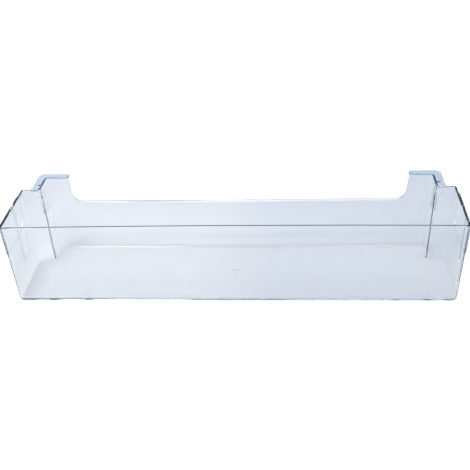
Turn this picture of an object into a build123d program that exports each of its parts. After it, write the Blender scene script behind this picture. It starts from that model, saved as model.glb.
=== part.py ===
# Clear moulded door shelf for a refrigerator, one piece.
# Millimetres. +X runs along the shelf, +Y towards the door, +Z up.
# The origin is under the middle of the part, on the plane it stands on.
import os

from build123d import *

# Overall form
rim_width = 490.0  # across the side walls at the rim
height = 97.5  # floor underside to rim
wall = 2.4  # walls, measured level
floor_thickness = 2.4
front_depth = 84.3  # front rim to the outer face of the return walls, at the rim
rear_depth = 31.4  # return walls to the back wall, outer faces at the rim
return_width = 20.2  # side wall to rear side wall, outer faces at the rim
rim_bevel = 0.5  # bevel of the edges along the rim

# Draft: how far each wall leans in from the rim down to the floor
front_lean = 2.0
side_lean = 3.1
return_lean = 1.0
rear_side_lean = 4.0
back_lean = 1.5

# The long walls bow inwards at the rim and are straight at the floor
front_bow = 2.4
back_bow = 3.6

# Proud upper band on each side wall
band_height = 35.0  # rim down to the ledge
band_step = 0.9  # how far the band stands out
band_setback = 0.3  # the band starts this far behind the front face
band_end = 16.0  # the band ends this far in front of the return wall
band_corner_radius = 20.0  # its lower rear corner

# Radii of the outer faces
front_corner_radius = 4.5  # front wall to side wall, at the rim
front_corner_base_radius = 6.5
side_corner_radius = 3.0  # side wall to return wall, at the rim
side_corner_base_radius = 6.0
return_corner_radius = 3.2  # hollow corner, return wall to rear side wall, at the rim
return_corner_base_radius = 1.0
rear_corner_radius = 7.0
base_radius = 4.5  # floor to walls, outside
inner_base_radius = 2.6  # floor to walls, inside
least_radius = 0.5  # a corner inside the walls is never sharper than this

# Low middle of the back wall, between the two ears
opening_height = 65.7  # top of the low back wall
opening_radius = 11.0
opening_land = 0.6  # flat left on the opening's edge, which is bevelled on the inner side
ear_width = 27.5  # rear side wall to the opening, at the rim
ear_slope = 3.3  # how much wider an ear is at its foot, before its corner is rounded

# Hooks outside the ears, which hang on lugs of the door
hook_side_reach = 8.3  # roof beyond the rear side wall
hook_back_reach = 5.9  # roof beyond the back wall
hook_radius = 8.0
roof_thickness = 2.4
stop_distance = 9.4  # return wall to the stop that hangs from the roof
stop_thickness = 3.0
stop_drop = 15.5  # rim down to the stop's foot, at its outer side
stop_rise = 3.0  # how much its foot rises towards the rear side wall

# Catch pad on the rear side wall, which grips the lug
pad_length = 13.0
pad_width = 19.0
pad_base = 64.0  # above the plane the shelf stands on
pad_height = 0.6
pad_bevel = 0.4
pad_gap = 3.0  # behind the return wall

# Injection point under the floor
gate_recess_diameter = 9.0
gate_recess_depth = 0.6
gate_stub_diameter = 2.4
gate_stub_height = 0.4

# Faces at the rim, worked out from the above
depth = front_depth + rear_depth + hook_back_reach
front_face = -depth / 2
return_face = front_face + front_depth
back_face = return_face + rear_depth
side_face = rim_width / 2 - band_step
rear_face = rim_width / 2 - return_width
opening_side = rear_face - ear_width
ledge = height - band_height
band_back = return_face - band_end
bevel_foot = height - rim_bevel
sink = wall / 2  # how far a joined form reaches into its wall


def lean_at(level):
    """Share of the full draft at a level: 0 at the rim, 1 at the bottom."""
    return 1 - level / height


def front_at(level):
    return front_face + front_lean * lean_at(level)


def return_at(level):
    return return_face - return_lean * lean_at(level)


def side_at(level):
    return side_face - side_lean * lean_at(level)


def rear_at(level):
    return rear_face - rear_side_lean * lean_at(level)


def back_at(level):
    return back_face - back_lean * lean_at(level)


def radius_at(level, rim_radius, foot_radius):
    return rim_radius + (foot_radius - rim_radius) * lean_at(level)


def plan(level, inset):
    """Stepped outline of the tray at one level, moved inwards by inset."""
    bowing = 1 - lean_at(level)
    front_radius = radius_at(level, front_corner_radius, front_corner_base_radius)
    side_radius = radius_at(level, side_corner_radius, side_corner_base_radius)
    hollow_radius = radius_at(level, return_corner_radius, return_corner_base_radius)
    side = side_at(level) - inset
    rear = rear_at(level) - inset
    front = front_at(level) + inset
    step = return_at(level) - inset
    back = back_at(level) - inset
    with BuildSketch(Plane.XY.offset(level)) as sketch:
        with BuildLine():
            Polyline((side, front), (side, step), (rear, step), (rear, back))
            Polyline((-side, front), (-side, step), (-rear, step), (-rear, back))
            if bowing > 0:
                ThreePointArc((-side, front), (0, front + front_bow * bowing), (side, front))
                ThreePointArc((-rear, back), (0, back - back_bow * bowing), (rear, back))
            else:
                Line((-side, front), (side, front))
                Line((-rear, back), (rear, back))
        make_face()
        corners = sketch.vertices().group_by(Axis.Y)[-2].sort_by(lambda corner: abs(corner.X))
        fillet(corners[2:], max(side_radius - inset, least_radius))
        corners = sketch.vertices().group_by(Axis.Y)[-2].sort_by(lambda corner: abs(corner.X))
        fillet(corners[:2], hollow_radius + inset)
        fillet(sketch.vertices().group_by(Axis.Y)[0], max(front_radius - inset, least_radius))
        fillet(sketch.vertices().group_by(Axis.Y)[-1], max(rear_corner_radius - inset, least_radius))
    return sketch.sketch


def band_plan(level, inset):
    """Outline of the right side's band at one level, moved inwards by inset."""
    front_radius = radius_at(level, front_corner_radius, front_corner_base_radius)
    inner = side_at(level) - front_radius - wall
    outer = side_at(level) + band_step - inset
    front = front_at(level) + band_setback + inset
    end = band_back - inset
    with BuildSketch(Plane.XY.offset(level)) as sketch:
        with BuildLine():
            Polyline((inner, front), (outer, front), (outer, end), (inner, end), close=True)
        make_face()
        fillet(sketch.vertices().group_by(Axis.X)[-1].sort_by(Axis.Y)[0], front_radius - inset)
        fillet(sketch.vertices().sort_by(lambda corner: corner.X + corner.Y)[-1], band_step)
    return sketch.sketch


def on_inner_edge(edge):
    """Whether an edge runs along the opening on the inner side of the back wall."""
    middle = edge.center()
    across = abs(middle.X) < opening_side and edge.length > 2 * wall
    upwards = opening_height - sink < middle.Z < bevel_foot - sink
    bow = back_bow * (1 - lean_at(middle.Z)) * (1 - (middle.X / rear_at(middle.Z)) ** 2)
    return across and upwards and return_face < middle.Y < back_at(middle.Z) - bow - wall / 2


# The space inside the walls, from the floor to the rim, where it flares
with BuildPart() as cavity:
    loft([plan(floor_thickness, wall), plan(bevel_foot, wall), plan(height, wall - rim_bevel)], ruled=True)
    fillet(cavity.faces().sort_by(Axis.Z)[0].edges(), inner_base_radius)

# The band on the right side wall, rounded where its lower edge turns up
with BuildPart() as band:
    loft([band_plan(ledge, 0), band_plan(bevel_foot, 0), band_plan(height, rim_bevel)], ruled=True)
    with BuildSketch(Plane.YZ):
        with BuildLine():
            TangentArc(
                (band_back - band_corner_radius, ledge),
                (band_back, ledge + band_corner_radius),
                tangent=(1, 0),
            )
            Polyline(
                (band_back, ledge + band_corner_radius),
                (band_back, ledge),
                (band_back - band_corner_radius, ledge),
            )
        make_face()
    extrude(amount=rim_width, mode=Mode.SUBTRACT)

# The right hook: a roof at rim level, with a stop hanging from it
roof_edge = rear_face + hook_side_reach
roof_back = back_face + hook_back_reach
roof_front = return_face - sink
roof_inner = opening_side - sink
stop_front = return_face + stop_distance
stop_top = height - roof_thickness / 2
stop_foot = height - stop_drop
stop_root = rear_face - sink

with BuildPart() as hook:
    with BuildSketch(Plane.XY.offset(height)) as roof:
        with BuildLine():
            Polyline(
                (roof_inner, roof_front),
                (roof_edge, roof_front),
                (roof_edge, roof_back),
                (roof_inner, roof_back),
                close=True,
            )
        make_face()
        fillet(roof.vertices().sort_by(lambda corner: corner.X + corner.Y)[-1], hook_radius)
    extrude(amount=-roof_thickness)
    with BuildSketch(Plane.XZ.offset(-stop_front)):
        with BuildLine():
            Polyline(
                (roof_edge, stop_foot),
                (roof_edge, stop_top),
                (stop_root, stop_top),
                (stop_root, stop_foot + stop_rise),
            )
            TangentArc((roof_edge, stop_foot), (stop_root, stop_foot + stop_rise), tangent=(-1, 0))
        make_face()
    extrude(amount=-stop_thickness)
    chamfer(hook.faces().sort_by(Axis.Z)[-1].edges(), rim_bevel)

# The right catch pad: upright, so its foot stands further out of the leaning wall
pad_middle = (return_face + pad_gap + pad_length / 2, pad_base + pad_width / 2)
pad_root = rear_at(pad_base) - sink
pad_face = rear_at(pad_base + pad_width) + pad_height

with BuildPart() as pad:
    with BuildSketch(Plane.YZ.offset(pad_root)) as pad_outline:
        with Locations(pad_middle):
            Rectangle(pad_length, pad_width)
    extrude(amount=pad_face - pad_root)
    chamfer(pad.faces().sort_by(Axis.X)[-1].edges(), pad_bevel)

# What is taken from the back wall between the ears
with BuildPart() as opening:
    with BuildSketch(Plane.XZ.offset(-roof_back)) as gap:
        with BuildLine():
            Polyline(
                (-opening_side, height),
                (ear_slope - opening_side, opening_height),
                (opening_side - ear_slope, opening_height),
                (opening_side, height),
                close=True,
            )
        make_face()
        fillet(gap.vertices().group_by(Axis.Y)[0], opening_radius)
    extrude(amount=roof_back - return_face)

gate_y = (front_face + back_face) / 2
standing = (Align.CENTER, Align.CENTER, Align.MIN)
hanging = (Align.CENTER, Align.CENTER, Align.MAX)

with BuildPart() as door_shelf:
    loft([plan(0, 0), plan(bevel_foot, 0), plan(height, rim_bevel)], ruled=True)
    fillet(door_shelf.faces().sort_by(Axis.Z)[0].edges(), base_radius)
    for form in (band, hook, pad):
        add(form.part)
        mirror(form.part, about=Plane.YZ)
    add(cavity.part, mode=Mode.SUBTRACT)
    add(opening.part, mode=Mode.SUBTRACT)
    chamfer(door_shelf.edges().filter_by(on_inner_edge), wall - opening_land)
    with Locations((0, gate_y, 0)):
        Cylinder(gate_recess_diameter / 2, gate_recess_depth, align=standing, mode=Mode.SUBTRACT)
    with Locations((0, gate_y, gate_recess_depth)):
        Cylinder(gate_stub_diameter / 2, gate_stub_height, align=hanging)

door_shelf.part.label = "door_shelf"
os.makedirs("parts", exist_ok=True)
export_step(door_shelf.part, "parts/door_shelf.step")
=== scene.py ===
"""Looks of the clear door shelf: its material, and a floor, light and camera around the fixed frame.

Metres, +Z up.
"""
import math

import bpy
from mathutils import Matrix, Vector

# The camera stands in front of the shelf, a little to its right, and looks down into it
CAMERA_PLACE = (0.06257, -0.73454, 0.51609)
CAMERA_PITCH = math.radians(32.332)
CAMERA_YAW = math.radians(-4.873)
CAMERA_ROLL = math.radians(-2.88)
SENSOR = 36.0  # millimetres
LENS = 59.28  # millimetres

# Clear plastic: the index of clear styrene, and a light-blue absorption per metre of path
PLASTIC_COLOR = (1.0, 1.0, 1.0, 1.0)
PLASTIC_TRANSMISSION = 1.0
PLASTIC_IOR = 1.58
PLASTIC_TINT = (0.40, 0.65, 0.90, 1.0)
PLASTIC_DENSITY = 4.0
PLASTIC_ROUGHNESS_LOW = 0.0
PLASTIC_ROUGHNESS_HIGH = 0.03

# Faint waviness of its faces, as moulding leaves it
FLOW_SCALE = 14.0
FLOW_STRETCH = (0.35, 1.0, 1.6)
FLOW_DETAIL = 1.0
FLOW_STRENGTH = 0.06
FLOW_DEPTH = 0.0004

# Pale round floor that curves up into a backdrop
FLOOR_COLOR = (0.80, 0.82, 0.85, 1.0)
FLOOR_RADIUS = 3.0
FLOOR_SIDES = 96
FLOOR_GAP = 0.0003  # how far it lies below the plane the shelf stands on
SWEEP_RADIUS = 1.2
SWEEP_STEPS = 12
BACKDROP_HEIGHT = 2.0

# The floor's glow: white where it is seen straight, soft where it is seen through the plastic or reflected
GLOW_NEAR = (0.78, 0.78, 0.78, 1.0)
GLOW_FAR = (0.92, 0.92, 0.92, 1.0)
# The soft glow's levels are painted light and shade: a painted falloff from the lighter left to the darker
# right, and painted shade beyond the shelf's left end
SOFT_OUTER = (0.19, 0.18, 0.155, 1.0)  # beyond the shelf's left end
SOFT_LEFT = (0.265, 0.25, 0.215, 1.0)
SOFT_RIGHT = (0.19, 0.185, 0.165, 1.0)
SOFT_FAR = (0.55, 0.55, 0.55, 1.0)

# Where one glow turns into the next: along X for OUTER and SIDE, away from the middle for FAR
OUTER_START = -0.34
OUTER_END = -0.23
SIDE_START = -0.05
SIDE_END = 0.055
FAR_START = 0.35
FAR_END = 0.95

# Painted light under the tray, added to the soft glow there: a box on the floor, with a soft border
UNDER_PAINTED_LIGHT = (0.185, 0.19, 0.205)
UNDER_MIDDLE = (0.015, -0.007, 0.0)
UNDER_HALF = (0.265, 0.069, 0.0)
UNDER_SOFT = 0.02

# A dim blue room, with a brighter screen high up behind the shelf
ROOM_COLOR = (0.28, 0.57, 1.0, 1.0)
ROOM_LIGHT = 0.22
SCREEN_LIGHT = 0.6
SCREEN_WAY = (0.0, 0.86, 0.51)  # towards its middle
SCREEN_EDGE = 0.82  # cosine of the angle off its middle at which it has faded out
SCREEN_FULL = 0.94  # and at which it is still full

# Lamps, in watts: a key lamp above on the left, a weaker one on the right, and a long strip in front,
# which lights the bevels
KEY_PLACE = (-0.4, -0.05, 1.2)
KEY_POWER = 6.0
KEY_SIZE = (0.35, 0.35)
TOP_PLACE = (0.3, -0.02, 1.6)
TOP_POWER = 3.5
TOP_SIZE = (0.5, 0.5)
STRIP_PLACE = (-0.09, -0.60, 1.3)
STRIP_POWER = 3.0
STRIP_SIZE = (1.1, 0.2)
LAMP_TARGET = (0.0, 0.0, 0.0)

# Long paths inside the walls need many turns before they leave
LIGHT_TURNS = 24


def new_material(name):
    """A material, its node tree and the output node, the only one in the tree."""
    material = bpy.data.materials.new(name)
    material.use_nodes = True
    tree = material.node_tree
    tree.nodes.clear()
    output = tree.nodes.new("ShaderNodeOutputMaterial")
    return material, tree, output


def clear_plastic():
    """Polished clear moulding: it absorbs red a little, and its faces have a faint flow waviness."""
    material, tree, output = new_material("clear_plastic")
    nodes, links = tree.nodes, tree.links
    shader = nodes.new("ShaderNodeBsdfPrincipled")
    shader.inputs["Base Color"].default_value = PLASTIC_COLOR
    shader.inputs["Transmission Weight"].default_value = PLASTIC_TRANSMISSION
    shader.inputs["IOR"].default_value = PLASTIC_IOR
    place = nodes.new("ShaderNodeTexCoord")
    stretch = nodes.new("ShaderNodeMapping")
    stretch.inputs["Scale"].default_value = FLOW_STRETCH
    flow = nodes.new("ShaderNodeTexNoise")
    flow.inputs["Scale"].default_value = FLOW_SCALE
    flow.inputs["Detail"].default_value = FLOW_DETAIL
    bump = nodes.new("ShaderNodeBump")
    bump.inputs["Strength"].default_value = FLOW_STRENGTH
    bump.inputs["Distance"].default_value = FLOW_DEPTH
    polish = nodes.new("ShaderNodeMapRange")
    polish.inputs["To Min"].default_value = PLASTIC_ROUGHNESS_LOW
    polish.inputs["To Max"].default_value = PLASTIC_ROUGHNESS_HIGH
    body = nodes.new("ShaderNodeVolumeAbsorption")
    body.inputs["Color"].default_value = PLASTIC_TINT
    body.inputs["Density"].default_value = PLASTIC_DENSITY
    links.new(place.outputs["Object"], stretch.inputs["Vector"])
    links.new(stretch.outputs["Vector"], flow.inputs["Vector"])
    links.new(flow.outputs["Fac"], bump.inputs["Height"])
    links.new(flow.outputs["Fac"], polish.inputs["Value"])
    links.new(polish.outputs["Result"], shader.inputs["Roughness"])
    links.new(bump.outputs["Normal"], shader.inputs["Normal"])
    links.new(shader.outputs["BSDF"], output.inputs["Surface"])
    links.new(body.outputs["Volume"], output.inputs["Volume"])
    return material


def larger(tree, first, second):
    """The larger of two values."""
    node = tree.nodes.new("ShaderNodeMath")
    node.operation = "MAXIMUM"
    tree.links.new(first, node.inputs[0])
    tree.links.new(second, node.inputs[1])
    return node.outputs["Value"]


def vector_step(tree, operation, vector, other=None):
    """A node that works on a vector alone, or on it and a fixed one."""
    node = tree.nodes.new("ShaderNodeVectorMath")
    node.operation = operation
    tree.links.new(vector, node.inputs[0])
    if other is not None:
        node.inputs[1].default_value = other
    return node


def smooth_step(tree, value, start, end, low=0.0, high=1.0):
    """A value that goes smoothly from low to high while the given one goes from start to end."""
    step = tree.nodes.new("ShaderNodeMapRange")
    step.interpolation_type = "SMOOTHSTEP"
    step.inputs["From Min"].default_value = start
    step.inputs["From Max"].default_value = end
    step.inputs["To Min"].default_value = low
    step.inputs["To Max"].default_value = high
    tree.links.new(value, step.inputs["Value"])
    return step.outputs["Result"]


def mix(tree, share, low, high):
    """A colour that goes from low to high with the share. Each is a colour or a socket."""
    blend = tree.nodes.new("ShaderNodeMix")
    blend.data_type = "RGBA"
    tree.links.new(share, blend.inputs["Factor"])
    for name, colour in (("A", low), ("B", high)):
        if isinstance(colour, tuple):
            blend.inputs[name].default_value = colour
        else:
            tree.links.new(colour, blend.inputs[name])
    return blend.outputs["Result"]


def seen_rays(tree):
    """Two shares: 1 for camera rays, and 1 for those and any out of a reflection or the plastic."""
    path = tree.nodes.new("ShaderNodeLightPath")
    straight = path.outputs["Is Camera Ray"]
    bent = larger(tree, path.outputs["Is Glossy Ray"], path.outputs["Is Transmission Ray"])
    return straight, larger(tree, straight, bent)


def under_tray_painted_light_share(tree, position):
    """Share of the painted light under the tray: 1 under the tray, and 0 a little away from it."""
    from_middle = vector_step(tree, "SUBTRACT", position, UNDER_MIDDLE)
    distance = vector_step(tree, "ABSOLUTE", from_middle.outputs["Vector"])
    outside = vector_step(tree, "SUBTRACT", distance.outputs["Vector"], UNDER_HALF)
    sides = tree.nodes.new("ShaderNodeSeparateXYZ")
    tree.links.new(outside.outputs["Vector"], sides.inputs["Vector"])
    away = larger(tree, sides.outputs["X"], sides.outputs["Y"])
    return smooth_step(tree, away, UNDER_SOFT, -UNDER_SOFT)


def floor_glow(tree, straight):
    """Colour of the floor's glow, white where it is seen straight and soft where it is not. The soft glow
    holds painted light: lighter on the left and fading to the right, painted shade beyond the left end,
    and a painted pool of light under the tray.
    """
    place = tree.nodes.new("ShaderNodeNewGeometry")
    position = place.outputs["Position"]
    parts = tree.nodes.new("ShaderNodeSeparateXYZ")
    tree.links.new(position, parts.inputs["Vector"])
    reach = vector_step(tree, "LENGTH", position)
    inward = smooth_step(tree, parts.outputs["X"], OUTER_START, OUTER_END)
    rightward = smooth_step(tree, parts.outputs["X"], SIDE_START, SIDE_END)
    outward = smooth_step(tree, reach.outputs["Value"], FAR_START, FAR_END)
    # Painted falloff of light from left to right, and painted shade beyond the shelf's left end
    near = mix(tree, inward, SOFT_OUTER, mix(tree, rightward, SOFT_LEFT, SOFT_RIGHT))
    # Painted pool of light under the tray, added onto the soft glow
    lift = tree.nodes.new("ShaderNodeVectorMath")
    lift.operation = "MULTIPLY_ADD"
    lift.inputs[0].default_value = UNDER_PAINTED_LIGHT
    tree.links.new(under_tray_painted_light_share(tree, position), lift.inputs[1])
    tree.links.new(near, lift.inputs[2])
    soft = mix(tree, outward, lift.outputs["Vector"], SOFT_FAR)
    white = mix(tree, outward, GLOW_NEAR, GLOW_FAR)
    return mix(tree, straight, soft, white)


def floor_material():
    """A matte floor that also glows."""
    material, tree, output = new_material("pale_floor")
    matte = tree.nodes.new("ShaderNodeBsdfDiffuse")
    matte.inputs["Color"].default_value = FLOOR_COLOR
    glow = tree.nodes.new("ShaderNodeEmission")
    both = tree.nodes.new("ShaderNodeAddShader")
    straight, seen = seen_rays(tree)
    tree.links.new(floor_glow(tree, straight), glow.inputs["Color"])
    tree.links.new(seen, glow.inputs["Strength"])
    tree.links.new(matte.outputs["BSDF"], both.inputs[0])
    tree.links.new(glow.outputs["Emission"], both.inputs[1])
    tree.links.new(both.outputs["Shader"], output.inputs["Surface"])
    return material


def add_floor():
    """A round floor under the shelf, whose border sweeps up a quarter circle to the backdrop."""
    profile = []
    for step in range(SWEEP_STEPS + 1):
        turn = math.radians(90) * step / SWEEP_STEPS
        reach = FLOOR_RADIUS + SWEEP_RADIUS * math.sin(turn)
        rise = SWEEP_RADIUS * (1 - math.cos(turn))
        profile.append((reach, rise))
    profile.append((FLOOR_RADIUS + SWEEP_RADIUS, BACKDROP_HEIGHT))
    points = []
    for reach, rise in profile:
        for side in range(FLOOR_SIDES):
            angle = math.tau * side / FLOOR_SIDES
            points.append((reach * math.cos(angle), reach * math.sin(angle), rise))
    faces = [tuple(range(FLOOR_SIDES))]
    for ring in range(len(profile) - 1):
        for side in range(FLOOR_SIDES):
            here = ring * FLOOR_SIDES
            following = (side + 1) % FLOOR_SIDES
            above = here + FLOOR_SIDES
            faces.append((here + side, here + following, above + following, above + side))
    mesh = bpy.data.meshes.new("floor")
    mesh.from_pydata(points, [], faces)
    mesh.materials.append(floor_material())
    floor = bpy.data.objects.new("floor", mesh)
    floor.location.z = -FLOOR_GAP
    bpy.context.scene.collection.objects.link(floor)


def add_world():
    """The dim room above the backdrop, which the clear edges pick up."""
    world = bpy.data.worlds.new("room")
    world.use_nodes = True
    tree = world.node_tree
    tree.nodes.clear()
    output = tree.nodes.new("ShaderNodeOutputWorld")
    room = tree.nodes.new("ShaderNodeBackground")
    room.inputs["Color"].default_value = ROOM_COLOR
    way = tree.nodes.new("ShaderNodeTexCoord")
    facing = vector_step(tree, "DOT_PRODUCT", way.outputs["Generated"], SCREEN_WAY)
    level = smooth_step(
        tree, facing.outputs["Value"], SCREEN_EDGE, SCREEN_FULL, low=ROOM_LIGHT, high=SCREEN_LIGHT
    )
    tree.links.new(level, room.inputs["Strength"])
    tree.links.new(room.outputs["Background"], output.inputs["Surface"])
    bpy.context.scene.world = world


def add_lamp(name, place, size, power):
    """A soft lamp as wide and high as size says, turned to the shelf."""
    lamp = bpy.data.lights.new(name, "AREA")
    lamp.shape = "RECTANGLE"
    lamp.size, lamp.size_y = size
    lamp.energy = power
    holder = bpy.data.objects.new(name, lamp)
    holder.location = place
    aim = Vector(LAMP_TARGET) - Vector(place)
    holder.rotation_euler = aim.to_track_quat("-Z", "Y").to_euler()
    bpy.context.scene.collection.objects.link(holder)


def add_camera():
    """The camera, turned by its yaw, then its pitch, then its roll."""
    data = bpy.data.cameras.new("camera")
    data.sensor_width = SENSOR
    data.lens = LENS
    camera = bpy.data.objects.new("camera", data)
    camera.matrix_world = (
        Matrix.Translation(CAMERA_PLACE)
        @ Matrix.Rotation(-CAMERA_YAW, 4, "Z")
        @ Matrix.Rotation(math.pi / 2 - CAMERA_PITCH, 4, "X")
        @ Matrix.Rotation(CAMERA_ROLL, 4, "Z")
    )
    bpy.context.scene.collection.objects.link(camera)
    bpy.context.scene.camera = camera


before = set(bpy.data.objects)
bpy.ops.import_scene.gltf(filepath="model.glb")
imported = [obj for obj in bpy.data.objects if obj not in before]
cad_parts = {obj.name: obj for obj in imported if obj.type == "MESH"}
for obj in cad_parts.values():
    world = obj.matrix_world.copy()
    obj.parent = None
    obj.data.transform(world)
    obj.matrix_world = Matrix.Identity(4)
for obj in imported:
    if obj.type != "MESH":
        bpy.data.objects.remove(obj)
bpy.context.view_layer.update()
bpy.context.scene.view_settings.view_transform = "Standard"
bpy.context.scene.cycles.max_bounces = LIGHT_TURNS
bpy.context.scene.cycles.transmission_bounces = LIGHT_TURNS
bpy.context.scene.cycles.glossy_bounces = LIGHT_TURNS

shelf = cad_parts["door_shelf"]
shelf.data.materials.clear()
shelf.data.materials.append(clear_plastic())

add_floor()
add_world()
add_lamp("key", KEY_PLACE, KEY_SIZE, KEY_POWER)
add_lamp("top", TOP_PLACE, TOP_SIZE, TOP_POWER)
add_lamp("strip", STRIP_PLACE, STRIP_SIZE, STRIP_POWER)
add_camera()
